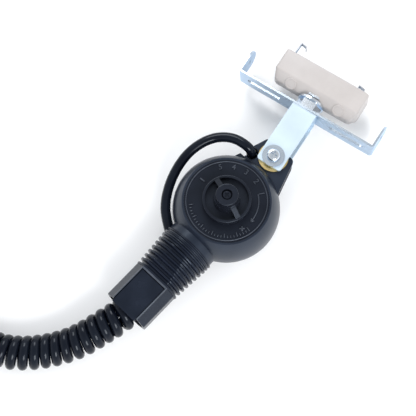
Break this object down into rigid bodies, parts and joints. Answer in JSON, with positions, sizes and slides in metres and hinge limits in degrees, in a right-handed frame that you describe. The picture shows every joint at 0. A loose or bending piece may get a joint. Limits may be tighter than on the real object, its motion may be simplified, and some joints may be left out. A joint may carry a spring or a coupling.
{
  "type": "rise-and-fall pendant suspension",
  "caption": "Spring-wound ball housing for a pull-down pendant lamp, with ribbed neck and curly cord, strap hanger, slotted crossbar and terminal block.",
  "frame": {"origin": "centre of the ball housing's flat back, on the surface that the part lies on", "axes": "+Z along the drum's axis, out of the dial; +Y from the neck through the ball towards the hanger; +X to the right seen from the dial"},
  "size_m": [0.2191, 0.3215, 0.0584],
  "materials": {
    "housing_black": "satin moulded black plastic",
    "dial_black": "fine matt black plastic",
    "knob_black": "satin black plastic",
    "neck_black": "soft satin black plastic",
    "cable_black": "glossy black cord jacket",
    "zinc_plate": "bright zinc plate",
    "zinc_steel": "bright zinc-plated steel",
    "wire_steel": "drawn steel",
    "spring_steel": "spring steel",
    "black_steel": "black oxide steel",
    "brass": "turned brass",
    "copper": "insulated copper conductors",
    "nylon": "natural nylon",
    "beige_plastic": "satin beige plastic"
  },
  "bodies": {
    "housing": {"front_shell": "housing_black", "back_shell": "housing_black", "dial_plate": "dial_black", "shell_screws": "zinc_steel", "click_spring": "spring_steel", "wire_guide": "nylon", "neck_sleeve": "neck_black", "clamp_cover": "neck_black", "cord_clamp": "nylon", "clamp_screw": "zinc_steel", "friction_washers": "brass", "supply_cable": "cable_black", "curly_cord": "cable_black", "suspension_wire": "wire_steel", "wire_ferrule": "brass", "lower_fitting": "housing_black", "lower_nipple": "brass", "lower_nut": "zinc_steel"},
    "knob": {"tension_knob": "knob_black", "knob_screw": "black_steel", "spring_arbor": "wire_steel", "ratchet_wheel": "spring_steel"},
    "drum": {"cable_drum": "nylon", "drum_bush": "brass", "spring_cover": "nylon", "wire_winding": "wire_steel", "spiral_spring": "spring_steel"},
    "hanger": {"hanger_strap": "zinc_plate", "pivot_screw": "zinc_steel", "pivot_washer": "zinc_plate", "pivot_nut": "zinc_steel"},
    "bracket": {"ceiling_crossbar": "zinc_plate", "hollow_nipple": "zinc_steel", "nipple_lock_nut": "zinc_steel", "hex_nut": "zinc_steel", "flange_washer": "zinc_steel", "block_nut": "zinc_steel", "terminal_cover": "beige_plastic", "terminal_base": "beige_plastic", "terminal_barrels": "brass", "terminal_screws": "zinc_steel", "terminal_clip_front": "spring_steel", "terminal_clip_rear": "spring_steel", "supply_riser": "cable_black", "conductors": "copper"}
  },
  "joints": [
    {"name": "hanger_pivot", "type": "hinge", "parent": "housing", "child": "hanger", "pos_m": [0, 0.0465, 0.021], "axis": [0, 0, 1], "range_deg": [-53.8, 36.2]},
    {"name": "bracket_swivel", "type": "hinge", "parent": "hanger", "child": "bracket", "pos_m": [-0.00756, 0.0873, 0.021], "axis": [-0.1822, 0.9833, 0], "range_deg": [-87, 93]},
    {"name": "knob_turn", "type": "hinge", "parent": "housing", "child": "knob", "pos_m": [0, 0, 0.042], "axis": [0, 0, 1], "range_deg": [-270, 630], "deforming": ["click_spring"]},
    {"name": "drum_spin", "type": "hinge", "parent": "housing", "child": "drum", "pos_m": [0, 0, 0.021], "axis": [0, 0, 1], "range_deg": [0, 1890], "deforming": ["spiral_spring"]}
  ]
}
